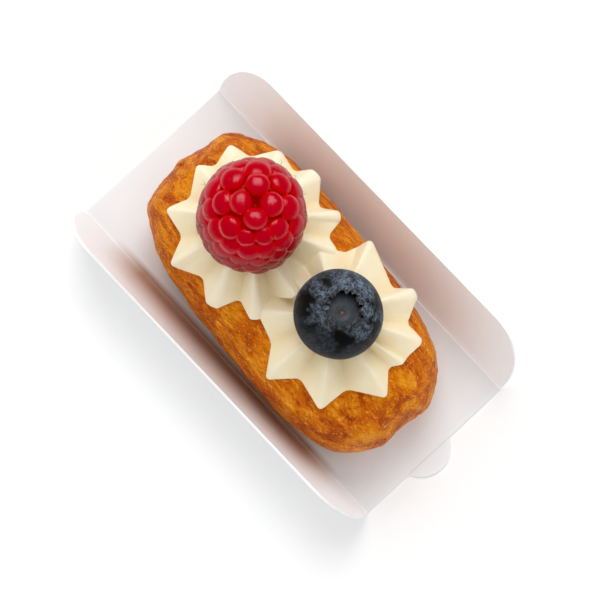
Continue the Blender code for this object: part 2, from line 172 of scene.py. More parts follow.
# %% Helpers that build materials
def new_material(name, **values):
    """A Principled material. Values that are the same all over go on the shader itself."""
    material = bpy.data.materials.new(name)
    material.use_nodes = True
    shader = material.node_tree.nodes["Principled BSDF"]
    for socket, value in values.items():
        shader.inputs[socket.replace("_", " ")].default_value = value
    return material, material.node_tree, shader


def feed(tree, socket, value):
    """Links an output to a socket, or sets the socket to a plain value."""
    if isinstance(value, bpy.types.NodeSocket):
        tree.links.new(value, socket)
    else:
        socket.default_value = value


def add(tree, kind, inputs=None, **settings):
    """Adds a node, makes its settings, and sets or links its inputs."""
    node = tree.nodes.new("ShaderNode" + kind)
    for name, value in settings.items():
        setattr(node, name, value)
    for name, value in (inputs or {}).items():
        feed(tree, node.inputs[name], value)
    return node


def places(tree, scale=(1, 1, 1)):
    """Object coordinates in millimetres, stretched by scale."""
    coordinates = add(tree, "TexCoord").outputs["Object"]
    per_mm = tuple(share / MM for share in scale)
    return add(tree, "Mapping", {"Vector": coordinates, "Scale": per_mm}).outputs["Vector"]


def speckle(tree, vector, per_mm, detail=4.0, roughness=0.55, curl=0.0):
    """Noise with that many lumps a millimetre. A curl above 1 draws the lumps out into fibres."""
    inputs = {"Vector": vector, "Scale": per_mm, "Detail": detail, "Roughness": roughness}
    return add(tree, "TexNoise", {**inputs, "Distortion": curl}).outputs["Fac"]


def ramp(tree, factor, *stops):
    """A colour ramp: each stop is (position, colour)."""
    node = add(tree, "ValToRGB", {"Fac": factor})
    elements = node.color_ramp.elements
    while len(elements) < len(stops):
        elements.new(0.5)
    for element, (position, colour) in zip(elements, stops):
        element.position = position
        element.color = (*colour, 1.0)
    return node.outputs["Color"]


def levels(tree, factor, low, high, to=(0.0, 1.0)):
    """Straightens a factor so that low becomes to[0] and high becomes to[1]."""
    inputs = {"Value": factor, "From Min": low, "From Max": high, "To Min": to[0], "To Max": to[1]}
    return add(tree, "MapRange", inputs, clamp=True).outputs["Result"]


def blend(tree, factor, first, second, way="MIX"):
    """Blends two colours by a factor."""
    node = add(tree, "Mix", data_type="RGBA", blend_type=way)
    for index, value in ((0, factor), (6, first), (7, second)):
        feed(tree, node.inputs[index], (*value, 1.0) if isinstance(value, tuple) else value)
    return node.outputs[2]


def product(tree, *factors):
    """Several factors multiplied."""
    result = factors[0]
    for factor in factors[1:]:
        result = add(tree, "Math", {0: result, 1: factor}, operation="MULTIPLY").outputs[0]
    return result


def parts(tree, vector):
    """The X, Y and Z of a vector."""
    return add(tree, "SeparateXYZ", {"Vector": vector}).outputs


def distance(tree, value, middle=0.0):
    """How far a value is from a middle one, either way."""
    offset = add(tree, "Math", {0: value, 1: middle}, operation="SUBTRACT").outputs[0]
    return add(tree, "Math", {0: offset}, operation="ABSOLUTE").outputs[0]


def mark(tree, name):
    """A point attribute of the mesh."""
    return add(tree, "Attribute", attribute_name=name).outputs["Fac"]


def bump(tree, height, distance, strength=1.0, below=None):
    """Surface relief from a height that is 0 to 1, distance deep."""
    inputs = {"Height": height, "Distance": distance, "Strength": strength}
    if below is not None:
        inputs["Normal"] = below
    return add(tree, "Bump", inputs).outputs["Normal"]


def connect(tree, shader, colour, relief, roughness=None):
    """Links what varies over the surface to the shader."""
    tree.links.new(colour, shader.inputs["Base Color"])
    tree.links.new(relief, shader.inputs["Normal"])
    if roughness is not None:
        tree.links.new(roughness, shader.inputs["Roughness"])


# %% [markdown]
# The case is one sheet of white card: a flat panel, two sides folded up along it, and a
# round tab to pull it out of a tray. It could be four flat plates, but real card bends in
# a small radius and is scored on both sides of the bend. So the sheet is unrolled: one
# parameter runs along the eclair, the other across the card, and a formula folds it.

# %% Sizes of the card case
CARD_LENGTH = 82.7 * MM
CARD_WIDTH = 36.7 * MM
CARD_THICKNESS = 0.5 * MM
FOLD_RADIUS = 0.8 * MM
SIDE_HEIGHT = 18 * MM
SIDE_CORNER_LENGTH = 9.8 * MM
SIDE_CORNER_HEIGHT = 15.1 * MM
SIDE_SLOPE_FRONT = np.radians((71.0, 73.0))
SIDE_SLOPE_BACK = np.radians((69.4, 67.4))
TAB_CHORD = 10.8 * MM
TAB_REACH = 3.6 * MM
TAB_CENTRE_Y = -1.4 * MM
SCORE_DEPTH = 0.2 * MM
SCORE_WIDTH = 0.18 * MM
CARD_ROWS = 90
CORNER_STEPS = 44
FOLD_STEPS = 12
TAB_STEPS = 60


# %% Fold the card
def card_stations():
    """Distances across the unrolled card, closer together at the folds and the corners."""
    slope = SIDE_SLOPE_BACK.mean()
    setback = FOLD_RADIUS * np.tan(slope / 2)
    panel_half = CARD_WIDTH / 2 - setback
    fold = FOLD_RADIUS * slope
    quarter = np.sin(np.linspace(0, np.pi / 2, CORNER_STEPS + 1))
    corner = SIDE_HEIGHT - SIDE_CORNER_HEIGHT + SIDE_CORNER_HEIGHT * quarter
    folds = panel_half + np.linspace(0, fold, FOLD_STEPS + 1)
    half = np.concatenate([folds, panel_half + fold - setback + corner])
    tab = TAB_CENTRE_Y - TAB_CHORD / 2 * np.cos(np.linspace(0, np.pi, TAB_STEPS + 1))
    return np.concatenate([-half[::-1], tab, half]), panel_half, fold, setback


def card_sheet():
    """The underside of the folded card: across is unrolled distance, along a share of length.
    Past the panel a point first goes round the fold and then straight up the side's slope."""
    across, panel_half, fold, setback = card_stations()
    up = np.abs(across) - panel_half - fold + setback
    rise = np.clip((up - SIDE_HEIGHT + SIDE_CORNER_HEIGHT) / SIDE_CORNER_HEIGHT, 0, 1)
    half_length = CARD_LENGTH / 2 - SIDE_CORNER_LENGTH * (1 - np.sqrt(1 - rise**2))
    radius = (TAB_CHORD**2 / 4 + TAB_REACH**2) / (2 * TAB_REACH)
    from_tab = np.clip(np.abs(across - TAB_CENTRE_Y), 0, TAB_CHORD / 2)
    tab = np.sqrt(radius**2 - from_tab**2) - (radius - TAB_REACH)
    along = np.linspace(0, 1, CARD_ROWS + 1)[:, None]
    x = -half_length + (2 * half_length + tab) * along
    slopes = zip(SIDE_SLOPE_BACK, SIDE_SLOPE_FRONT)
    low, high = (np.where(across > 0, back, front) for back, front in slopes)
    slope = low + (high - low) * along
    beyond = np.maximum(np.abs(across) - panel_half, 0) + 0 * along
    turned = slope * np.minimum(beyond / fold, 1)
    straight = np.maximum(beyond - fold, 0)
    flat = np.minimum(np.abs(across), panel_half)
    y = flat + fold / slope * np.sin(turned) + straight * np.cos(slope)
    z = fold / slope * (1 - np.cos(turned)) + straight * np.sin(slope)
    bends = (panel_half, panel_half + fold)
    score = sum(np.exp(-(((np.abs(across) - bend) / SCORE_WIDTH) ** 2)) for bend in bends)
    return np.stack([x, np.sign(across) * y, z], -1), score + 0 * along


def card_case():
    """The sheet's two faces, a thickness apart, joined by a strip round the edge."""
    under, score = card_sheet()
    normals = np.cross(np.gradient(under, axis=0), np.gradient(under, axis=1))
    normals /= np.linalg.norm(normals, axis=-1, keepdims=True)
    upper = under + normals * (CARD_THICKNESS - SCORE_DEPTH * score)[..., None]
    rows, columns = under.shape[:2]
    low = np.arange(rows * columns).reshape(rows, columns)
    high = low + rows * columns
    faces = [
        np.stack([high[:-1, :-1], high[1:, :-1], high[1:, 1:], high[:-1, 1:]], -1),
        np.stack([low[:-1, :-1], low[:-1, 1:], low[1:, 1:], low[1:, :-1]], -1),
        np.stack([low[0, 1:], low[0, :-1], high[0, :-1], high[0, 1:]], -1),
        np.stack([low[-1, :-1], low[-1, 1:], high[-1, 1:], high[-1, :-1]], -1),
        np.stack([low[:-1, 0], low[1:, 0], high[1:, 0], high[:-1, 0]], -1),
        np.stack([low[1:, -1], low[:-1, -1], high[:-1, -1], high[1:, -1]], -1),
    ]
    faces = np.concatenate([part.reshape(-1, 4) for part in faces])
    mesh = bpy.data.meshes.new("card_tray")
    mesh.from_pydata(np.concatenate([under.reshape(-1, 3), upper.reshape(-1, 3)]), [], faces.tolist())
    inner = mesh.attributes.new("inner", "FLOAT", "POINT")
    inner.data.foreach_set("value", np.repeat((0.0, 1.0), under[..., 0].size).astype(np.float32))
    obj = show("card_tray", mesh)
    mesh.set_sharp_from_angle(angle=np.radians(50))
    return obj


card = card_case()

# %% [markdown]
# Food card is coated white board: nearly smooth and dull, with a faint fibre grain. A plain
# white would look like plastic, so a very fine relief breaks up its shine, its tone drifts by
# a hundredth or two, and a little scattering lets light into the thin sheet. Low beside the
# choux, light that bounces off the crust turns the card brown. The traced bounce came out
# weaker than it should, so part of that brown is painted here, on the inner face only, which
# a mark made with the mesh tells apart. It is paint: it stays under any other light.

# %% White card
CARD_TONES = ((0.35, (0.950, 0.955, 0.970)), (0.65, (0.965, 0.970, 0.985)))
CARD_BY_CRUST = (0.48, 0.28, 0.19)
CARD_SCORE_SHADE = (0.78, 0.76, 0.76)


def white_card():
    material, tree, shader = new_material(
        "white_card",
        Roughness=0.5,
        Specular_IOR_Level=0.15,
        Subsurface_Weight=0.32,
        Subsurface_Radius=(1.0, 0.85, 0.78),
        Subsurface_Scale=1.9 * MM,
    )
    at = places(tree)
    tone = ramp(tree, speckle(tree, at, 0.22, 3), *CARD_TONES)
    place = parts(tree, at)
    along = distance(tree, place["X"])
    beside = product(tree, levels(tree, along, 33.0, 24.0), levels(tree, place["Y"], -16.6, -17.6))
    beside = product(tree, beside, levels(tree, place["Z"], 15.5, 4.0, (0.0, 0.95)), mark(tree, "inner"))
    tone = blend(tree, beside, tone, CARD_BY_CRUST)
    # A grey line where the tab folds is painted shade of its score: the mesh has no groove there
    from_edge = distance(tree, place["X"], CARD_LENGTH / 2 / MM)
    from_middle = distance(tree, place["Y"], TAB_CENTRE_Y / MM)
    half_chord = TAB_CHORD / 2 / MM
    in_chord = levels(tree, from_middle, half_chord, half_chord - 0.2)
    score = product(tree, levels(tree, from_edge, 0.24, 0.08), in_chord)
    tone = blend(tree, product(tree, score, 0.7), tone, CARD_SCORE_SHADE)
    connect(tree, shader, tone, bump(tree, speckle(tree, at, 6.0, 3), 0.02 * MM, 0.5))
    return material


settle(card, "card_case", white_card())

# %% [markdown]
# Choux is piped as a log, so its plan is a long squarish oval, and its ends are faceted
# where the ridges of the nozzle met. It rises in the oven: the top domes, the sides roll
# under to a flat foot. Sculpting could do it, but a formula in two angles keeps it exact,
# and noise along the normals adds the lumps, wrinkles and pits of the crust.

# %% Sizes of the choux shell
CHOUX_HALF_LENGTH = 34.6 * MM
CHOUX_HALF_WIDTH = 17.3 * MM
CHOUX_SPINE = CHOUX_HALF_LENGTH - CHOUX_HALF_WIDTH
CHOUX_SQUARENESS = 3.34
CHOUX_TURN = np.radians(-4.2)
CHOUX_CENTRE_X = 0.3 * MM
CHOUX_FOOT_HEIGHT = CARD_THICKNESS + 0.05 * MM
CHOUX_WIDEST = 10.5 * MM
CHOUX_TOP = 24.5 * MM
CHOUX_DOME_FULLNESS = 2.4
CHOUX_FOOT_SHARE = 0.76
CHOUX_ROUNDED_SHARE = 0.6
SMOOTH_ABOVE_FOOT = 4 * MM
FACETS_PER_TURN = 10
FACET_DEPTH = 1.3
# At the tab end and at the far end
FACET_PHASES = (2.68, 0.7)
# In columns of the grid, at the far end and at the tab end
FACET_ROUNDING = (3.0, 5.5)
CHOUX_ROWS = 200
CHOUX_COLUMNS = 460


# %% Shape the choux shell
def choux_edge(turn):
    """The widest outline: a squarish oval, pulled in to chords between corners at its ends."""
    c, s = np.cos(turn), np.sin(turn)
    power = CHOUX_SQUARENESS
    radius = (abs(c / CHOUX_HALF_LENGTH) ** power + abs(s / CHOUX_HALF_WIDTH) ** power) ** (-1 / power)
    x, y = radius * c, radius * s
    past_spine = np.abs(x) - CHOUX_SPINE
    end = np.clip(past_spine / CHOUX_HALF_WIDTH, 0, 1)
    phase = np.where(x > 0, *FACET_PHASES)
    turned = (FACETS_PER_TURN * np.arctan2(y, past_spine) + phase) % (2 * np.pi)
    from_middle = (turned - np.pi) / FACETS_PER_TURN
    chord = np.cos(np.pi / FACETS_PER_TURN) / np.cos(from_middle) - 1
    stretch = 1 + FACET_DEPTH * CHOUX_HALF_WIDTH * chord * end / radius
    return x * stretch, y * stretch


def choux_section(latitude):
    """(share of the outline, height): a dome above the widest line, and below it a quarter
    round that runs in to a flat foot."""
    power = 2 / CHOUX_DOME_FULLNESS
    up = np.sin(np.clip(latitude, 0, None)) ** power
    down = np.clip(-latitude / (np.pi / 2), 0, 1)
    turn = np.clip(down / CHOUX_ROUNDED_SHARE, 0, 1) * np.pi / 2
    under = CHOUX_FOOT_SHARE + (1 - CHOUX_FOOT_SHARE) * np.cos(turn)
    foot = CHOUX_FOOT_SHARE * (1 - down) / (1 - CHOUX_ROUNDED_SHARE)
    under = np.where(down > CHOUX_ROUNDED_SHARE, foot, under)
    share = np.where(latitude >= 0, np.clip(np.cos(latitude), 0, 1) ** power, under)
    low = CHOUX_WIDEST - (CHOUX_WIDEST - CHOUX_FOOT_HEIGHT) * np.sin(turn)
    return share, np.where(latitude >= 0, CHOUX_WIDEST + (CHOUX_TOP - CHOUX_WIDEST) * up, low)


def crust_relief(points):
    """Lumps and wrinkles in millimetres: broad lumps, wrinkles drawn out along the eclair,
    small blisters, and a few pits where steam broke through."""
    at = points / MM
    lengthwise = at * (0.3, 1.0, 1.0)
    relief = 0.22 * noise(at, 4.5, 1) + 0.16 * noise(at, 2.3, 2)
    relief += 0.20 * noise(lengthwise, 1.5, 3) + 0.12 * noise(lengthwise, 0.8, 4)
    relief += 0.10 * noise(at, 1.1, 5)
    relief -= 0.30 * smooth_step(0.30, 0.48, noise(at, 1.5, 6))
    return relief


def choux():
    latitude = np.linspace(-np.pi / 2, np.pi / 2, CHOUX_ROWS)[:, None]
    longitude = np.linspace(0, 2 * np.pi, CHOUX_COLUMNS, endpoint=False)
    share, height = choux_section(latitude)
    turn = np.arctan2(np.sin(longitude) * CHOUX_HALF_WIDTH, np.cos(longitude) * CHOUX_HALF_LENGTH)
    edge = np.stack(choux_edge(turn), -1)
    to_tab = smooth_step(-0.5, 0.5, np.cos(longitude))[:, None]
    at_far_end, at_tab_end = (softened(edge, rounding) for rounding in FACET_ROUNDING)
    edge_x, edge_y = (at_far_end * (1 - to_tab) + at_tab_end * to_tab).T
    spine_x = np.clip(edge_x, -CHOUX_SPINE, CHOUX_SPINE) * (1 - (1 - share) ** 3)
    x, y = spine_x + (edge_x - spine_x) * share, edge_y * share
    c, s = np.cos(CHOUX_TURN), np.sin(CHOUX_TURN)
    grid = np.stack([c * x - s * y + CHOUX_CENTRE_X, s * x + c * y, height + 0 * x], -1)
    above_foot = smooth_step(CHOUX_FOOT_HEIGHT, CHOUX_FOOT_HEIGHT + SMOOTH_ABOVE_FOOT, grid[..., 2])
    relief = crust_relief(grid) * above_foot
    relief[-1] = relief[-1].mean()
    grid = grid + grid_normals(grid) * (relief * MM)[..., None]
    return closed_grid("choux_crust", grid)


crust = choux()

# %% [markdown]
# Baked choux isn't one brown. The thin skin is golden, its ridges carry pale tan flecks, its
# hollows and pores go dark, and the sides that baked in the shade of the tray stay paler
# and pinkish. The pale flecks are also painted glints: they stand in for the shine of the
# fine wrinkles, so the crust itself shines little. Each of these is one noise of its own
# size, blended over the last, and the same noises raise a fine relief so that colour and
# light agree.

# %% Baked crust
CRUST_TONES = (
    (0.33, (0.37, 0.042, 0.000)),
    (0.44, (0.57, 0.098, 0.000)),
    (0.54, (0.77, 0.205, 0.000)),
    (0.67, (0.92, 0.345, 0.012)),
)
PALE_FLECK_AND_GLINT = (0.98, 0.54, 0.10)
DARK_PORE = (0.22, 0.040, 0.000)
PALE_SIDE = (0.76, 0.25, 0.03)


def baked_crust():
    material, tree, shader = new_material(
        "baked_crust", Specular_IOR_Level=0.12, Specular_Tint=(1.0, 0.6, 0.25, 1.0)
    )
    at = places(tree)
    along = places(tree, (0.38, 1.0, 1.0))
    mottle = speckle(tree, along, 0.3, 6, 0.62, 0.7)
    colour = ramp(tree, mottle, *CRUST_TONES)
    flecks = speckle(tree, along, 1.7, 6, 0.68)
    fibres = speckle(tree, along, 1.2, 5, 0.6, 2.5)
    height = parts(tree, at)["Z"]
    drawn = product(tree, levels(tree, fibres, 0.54, 0.61), levels(tree, flecks, 0.44, 0.58, (0.15, 1.0)))
    drawn = product(tree, drawn, levels(tree, height, 21.0, 13.0, (0.6, 1.0)))
    # Pale fibres: the crust's own pale tan, and painted glints of its fine wrinkles
    colour = blend(tree, drawn, colour, PALE_FLECK_AND_GLINT)
    colour = blend(tree, levels(tree, fibres, 0.46, 0.38, (0.0, 0.45)), colour, DARK_PORE)
    low = product(tree, levels(tree, height, 12.0, 5.0), levels(tree, mottle, 0.35, 0.6, (0.3, 0.9)))
    colour = blend(tree, low, colour, PALE_SIDE)
    fine = bump(tree, levels(tree, fibres, 0.36, 0.64), 0.12 * MM, 0.9)
    relief = bump(tree, flecks, 0.3 * MM, 0.7, fine)
    connect(tree, shader, colour, relief, levels(tree, flecks, 0.3, 0.7, (0.28, 0.55)))
    return material


settle(crust, "choux_shell", baked_crust())

# %% [markdown]
# Each rosette of cream is pushed out of a toothed nozzle held upright: every tooth leaves a
# petal with a straight ridge, and between two petals runs a V-shaped groove. The outline is
# therefore a list of petals, and the surface climbs from that outline to the crown under
# the berry. Where the two rosettes meet they were soft and became one, so a union joins them.

# %% Sizes of the cream rosettes
# For each petal: the bearing, reach and blunt width of its tip, then the bearing and the
# reach of the groove after it, in degrees and mm
RASPBERRY_STAR_CENTRE = np.array((-12.57, 1.62)) * MM
RASPBERRY_STAR_PETALS = (
    (-147.2, 17.1, 0.9, -128.4, 13.9),
    (-112.0, 16.9, 0.9, -90.6, 13.3),
    (-72.4, 16.3, 2.6, -54.4, 13.8),
    (-41.2, 17.2, 2.2, -27.0, 13.6),
    (-13.0, 15.6, 1.2, 10.0, 13.0),
    (32.0, 16.2, 1.6, 43.0, 14.6),
    (58.8, 17.0, 1.8, 69.5, 13.7),
    (91.0, 16.8, 2.4, 104.6, 14.5),
    (120.3, 16.7, 1.4, 139.0, 14.6),
    (152.1, 17.5, 0.9, 167.5, 14.7),
    (177.6, 16.6, 0.8, 199.4, 13.8),
)
BLUEBERRY_STAR_CENTRE = np.array((10.9, 1.05)) * MM
BLUEBERRY_STAR_PETALS = (
    (-140.0, 14.6, 1.2, -115.0, 12.8),
    (-93.8, 16.6, 0.9, -74.2, 12.9),
    (-52.5, 16.8, 0.9, -33.2, 13.4),
    (-9.2, 17.2, 0.9, 6.0, 13.7),
    (15.5, 15.2, 0.8, 19.5, 15.3),
    (34.7, 16.9, 1.4, 47.0, 14.0),
    (67.9, 16.6, 2.0, 80.0, 13.2),
    (113.4, 17.4, 1.0, 130.0, 13.6),
    (149.0, 14.8, 1.2, 166.0, 12.9),
    (184.0, 13.4, 1.2, 202.0, 12.6),
)
# One petal of the first star lies on top of the second: bearing, half width, lift
OVERLAP_BEARING = np.radians(-12)
OVERLAP_HALF_WIDTH = np.radians(13)
OVERLAP_LIFT = 3.4 * MM
PETAL_VALLEY_WIDTH = 0.7 * MM
PETAL_LIFT = 1.3 * MM
VALLEY_LIFT = 0.5 * MM
PETAL_LOWEST = 20.3 * MM
PETAL_THICKNESS = 1.6 * MM
CROWN_HEIGHT = 29.2 * MM
GROOVE_DEPTH = 3.6 * MM
TIP_ROUNDING = 0.3 * MM
RIDGE_ROUNDING = 0.38 * MM
RIDGE_CORNER = 0.8
STAR_COLUMNS = 560
STAR_UNDER_ROWS = 14
STAR_UPPER_ROWS = 66
STAR_UNDERSIDE_SHARE = 0.95
# Above 1, rows lie closer together at the edge
ROW_SPACING = 1.25
# Share of the reach inside which the crown is level, and how many rows round the climb
CROWN_SHARE = 0.34
CLIMB_ROUNDING = 1.6
# The climb from the edge to the crown: share of the reach, share of the height
STAR_CLIMB = (
    (0.0, 1.0), (CROWN_SHARE, 1.0), (0.56, 0.93), (0.72, 0.66), (0.86, 0.36), (0.96, 0.12), (1.0, -0.05)
)


# %% Shape the rosettes
def crust_height(x, y):
    """How high the smooth top of the choux is above a point of the case."""
    c, s = np.cos(CHOUX_TURN), np.sin(CHOUX_TURN)
    along, across = c * (x - CHOUX_CENTRE_X) + s * y, c * y - s * (x - CHOUX_CENTRE_X)
    past_spine = np.maximum(np.abs(along) - CHOUX_SPINE, 0)
    share = np.minimum(np.hypot(past_spine, across) / CHOUX_HALF_WIDTH, 1)
    rise = (1 - share**CHOUX_DOME_FULLNESS) ** (1 / CHOUX_DOME_FULLNESS)
    return CHOUX_WIDEST + (CHOUX_TOP - CHOUX_WIDEST) * rise


def star_outline(centre, petals):
    """The star's edge, evenly spaced, and a mark that is 1 on a ridge and 0 in a groove. A tip
    has three points and a groove two, so a ridge is a line and a groove a narrow trough."""
    petals = np.array(petals)
    bearing = np.radians(petals[:, [0, 3]]).ravel()
    reach = petals[:, [1, 4]].ravel() * MM
    width = np.stack([petals[:, 2] * MM, np.full(len(petals), PETAL_VALLEY_WIDTH)], -1).ravel()
    outward = np.stack([np.cos(bearing), np.sin(bearing)], -1)
    sideways = np.stack([-outward[:, 1], outward[:, 0]], -1) * width[:, None] / 2
    tips = outward * reach[:, None]
    corners = np.stack([tips - sideways, tips * 1.01, tips + sideways], 1).reshape(-1, 2)
    marks = np.tile((RIDGE_CORNER, 1.0, RIDGE_CORNER, 0.06, 0.0, 0.06), len(petals))
    corners, marks = np.append(corners, corners[:1], 0), np.append(marks, marks[:1])
    arc = np.append(0, np.cumsum(np.hypot(*np.diff(corners, axis=0).T)))
    even = np.linspace(0, arc[-1], STAR_COLUMNS, endpoint=False)
    edge = np.stack([np.interp(even, arc, corners[:, axis]) for axis in (0, 1)], -1)
    spread = TIP_ROUNDING / (arc[-1] / STAR_COLUMNS)
    ridge = softened(np.interp(even, arc, marks), RIDGE_ROUNDING / TIP_ROUNDING * spread)
    return centre + softened(edge, spread), ridge


def cream_star(name, centre, petals, raised=False):
    """Rows run from the middle of the underside out to the edge and back up to the crown."""
    edge, ridge = star_outline(centre, petals)
    foot = np.maximum(crust_height(*edge.T) + VALLEY_LIFT + (PETAL_LIFT - VALLEY_LIFT) * ridge, PETAL_LOWEST)
    if raised:
        bearing = np.arctan2(*(edge - centre).T[::-1])
        foot = foot + OVERLAP_LIFT * smooth_step(OVERLAP_HALF_WIDTH, 0, np.abs(bearing - OVERLAP_BEARING))
    crown = CROWN_HEIGHT - GROOVE_DEPTH * (1 - ridge)
    under = np.linspace(0, 1, STAR_UNDER_ROWS)[:, None]
    under_z = (PETAL_LOWEST - PETAL_THICKNESS) * (1 - under) + (foot - PETAL_THICKNESS) * under
    under_share = STAR_UNDERSIDE_SHARE * under + 0 * foot
    upper = 1 - np.linspace(0, 1, STAR_UPPER_ROWS)[:, None] ** ROW_SPACING
    keys, climbs = np.array(STAR_CLIMB).T
    climb = between(keys, climbs, upper)
    climb = softened(np.concatenate([climb, climb[::-1]]), CLIMB_ROUNDING)[:STAR_UPPER_ROWS]
    upper_z = foot + (crown - foot) * climb
    top_ease = smooth_step(CROWN_SHARE, 0.0, upper)
    upper_z = upper_z * (1 - top_ease) + CROWN_HEIGHT * top_ease
    share = np.concatenate([under_share, upper + 0 * foot])[..., None]
    flat = centre + (edge - centre) * share
    grid = np.concatenate([flat, np.concatenate([under_z, upper_z])[..., None]], -1)
    grid[0], grid[-1] = grid[0].mean(0), grid[-1].mean(0)
    outer = np.concatenate([0 * under, smooth_step(0.25, 0.6, upper)]) + 0 * foot
    return closed_grid(name, grid, crest=ridge * outer, valley=(1 - ridge) * outer)


def piped_cream():
    """One skin from the two rosettes."""
    first = cream_star("cream_rosettes", RASPBERRY_STAR_CENTRE, RASPBERRY_STAR_PETALS, raised=True)
    second = cream_star("second rosette", BLUEBERRY_STAR_CENTRE, BLUEBERRY_STAR_PETALS)
    union = first.modifiers.new("one mass", "BOOLEAN")
    union.operation = "UNION"
    union.solver = "MANIFOLD"
    union.object = second
    graph = bpy.context.evaluated_depsgraph_get()
    joined = bpy.data.meshes.new_from_object(first.evaluated_get(graph))
    first.modifiers.clear()
    first.data = joined
    bpy.data.objects.remove(second)
    joined.shade_smooth()
    print("joined cream:", len(joined.polygons), "faces")
    return first


cream = piped_cream()

# %% [markdown]
# Whipped vanilla cream is near white where light falls on it and a warm ivory in its
# grooves, because light wanders inside it and comes back yellower. Subsurface scattering
# does part of that. The marks made with the mesh paint the rest: painted shade, a deeper
# ivory, in the grooves and painted light, a paler tone, on the ridges, over a faint drift
# of tone and a slight unevenness of the surface.

# %% Vanilla cream
CREAM_TONES = ((0.35, (0.93, 0.79, 0.53)), (0.65, (0.95, 0.825, 0.59)))
CREAM_CREST_LIGHT = (0.96, 0.855, 0.66)
CREAM_GROOVE_SHADE = (0.90, 0.72, 0.41)


def vanilla_cream():
    material, tree, shader = new_material(
        "vanilla_cream",
        Roughness=0.38,
        Specular_IOR_Level=0.5,
        Subsurface_Weight=0.5,
        Subsurface_Radius=(1.0, 0.72, 0.38),
        Subsurface_Scale=0.9 * MM,
    )
    at = places(tree)
    tone = ramp(tree, speckle(tree, at, 0.25, 3), *CREAM_TONES)
    # Painted shade deepens the grooves and painted light pales the ridges
    tone = blend(tree, levels(tree, mark(tree, "valley"), 0.55, 1.0, (0.0, 0.7)), tone, CREAM_GROOVE_SHADE)
    tone = blend(tree, levels(tree, mark(tree, "crest"), 0.6, 1.0, (0.0, 0.8)), tone, CREAM_CREST_LIGHT)
    connect(tree, shader, tone, bump(tree, speckle(tree, at, 0.9, 3, 0.5), 0.1 * MM, 0.5))
    return material


settle(cream, "piped_cream", vanilla_cream())

# %% [markdown]
# A berry stands upright in its own frame and then leans a little, as it was set down by
# hand. A lean is two turns, about X and about Y, written once for both berries.

# %% Lean a berry
def leaned(grid, centre, tilt):
    """Points turned about X and then about Y by the tilt, and moved to the berry's centre."""
    a, b = tilt
    about_x = np.array([[1, 0, 0], [0, np.cos(a), -np.sin(a)], [0, np.sin(a), np.cos(a)]])
    about_y = np.array([[np.cos(b), 0, np.sin(b)], [0, 1, 0], [-np.sin(b), 0, np.cos(b)]])
    return grid @ (about_y @ about_x).T + centre


# %% [markdown]
# A raspberry is a cup of juicy drupelets, ring above ring, each ring set in the gaps of the
# last. A hundred balls in a heap would leave hidden walls inside. Instead one skin is drawn
# outwards from the middle: along each direction it goes as far as the furthest drupelet.
# The skin then has true creases and no inside, and it knows where on a drupelet it is.

# %% Sizes of the raspberry
RASPBERRY_CENTRE = np.array((-13.5, 2.3, 34.2)) * MM
RASPBERRY_TILT = np.radians((-6.0, 2.0))
RASPBERRY_HALF_WIDTH = 8.75 * MM
RASPBERRY_RISE = 10.4 * MM
RASPBERRY_DROP = 6.2 * MM
RASPBERRY_FULLNESS = (2.4, 4.0)
RASPBERRY_LONGER = 0.022
RASPBERRY_LONG_BEARING = np.radians(137)
# Rings from the tip down: polar angle from the tip and the bearings, or how many and the first
DRUPELET_RINGS = (
    (16.5, (45, 132, 225, 317)),
    (35, (0, 45, 91, 132, 178, 224, 267, 301, 331)),
    (52, 14, 0),
    (67, 16, 8),
    (82, 17, 20),
    (97, 17, 8),
    (112, 15, 15),
    (127, 12, 0),
    (143, 9, 10),
)
# How far a drupelet strays in its ring, in degrees along the ring and from the tip, and its size
DRUPELET_STRAYS = (2.5, 2.0)
DRUPELET_SIZES = (0.94, 1.07)
ROOM_POWER = 0.6
DRUPELET_ALONG = 2.1 * MM
DRUPELET_ACROSS = 2.3 * MM
# Share of the full size at the tip, growing to all of it at this angle
DRUPELET_AT_TIP = (0.98, 50)
DRUPELET_HEIGHT = 1.7 * MM
TIP_HOLE_DEPTH = 1.6 * MM
TIP_HOLE_ANGLE = np.radians(8)
DRUPELET_SQUARENESS = 2.7
# How much higher a drupelet stands on the side away from the tip
DRUPELET_LEAN = 0.25
# How much higher one cushion is than the next where the seam and the rim of painted sheen begin and end
SEAM_APART = (0.03, 0.20)
RIM_APART = (0.10, 0.18, 0.26, 0.38)
# The rim fades in between these places on a drupelet: 0 is its middle, 1 its low end
RIM_SIDE = (-0.1, 0.4)
RASPBERRY_ROWS = 230
RASPBERRY_COLUMNS = 420


# %% Shape the raspberry
def raspberry_core(angle, bearing):
    """Distance from the berry's middle to the foot of its drupelets, at an angle from the tip:
    rounder above the widest line, and nearly straight down below it, as a thimble is. In
    plan it is slightly longer one way."""
    above = angle < np.pi / 2
    rise = np.where(above, RASPBERRY_RISE, RASPBERRY_DROP)
    power = np.where(above, *RASPBERRY_FULLNESS)
    across = np.abs(np.sin(angle) / RASPBERRY_HALF_WIDTH) ** power
    along = np.abs(np.cos(angle) / rise) ** power
    longer = 1 + RASPBERRY_LONGER * np.cos(2 * (bearing - RASPBERRY_LONG_BEARING)) * np.sin(angle)
    return (across + along) ** (-1 / power) * longer


def drupelet_places():
    """(angle from the tip, bearing, size) of every drupelet, ring by ring, a little uneven. A
    drupelet with less room in its ring is smaller."""
    draw = np.random.default_rng(11)
    for angle, *ring in DRUPELET_RINGS:
        bearings = np.array(ring[0]) if len(ring) == 1 else ring[1] + 360 / ring[0] * np.arange(ring[0])
        count = len(bearings)
        room = (np.roll(bearings, -1) - np.roll(bearings, 1)) % 360 / 720 * count
        round_it, from_tip = DRUPELET_STRAYS
        bearings = np.radians(bearings + draw.uniform(-round_it, round_it, count))
        angles = np.radians(angle + draw.uniform(-from_tip, from_tip, count))
        grown = between((0, DRUPELET_AT_TIP[1]), (DRUPELET_AT_TIP[0], 1), angle)
        sizes = grown * room**ROOM_POWER * draw.uniform(*DRUPELET_SIZES, count)
        yield from zip(angles, bearings, sizes)


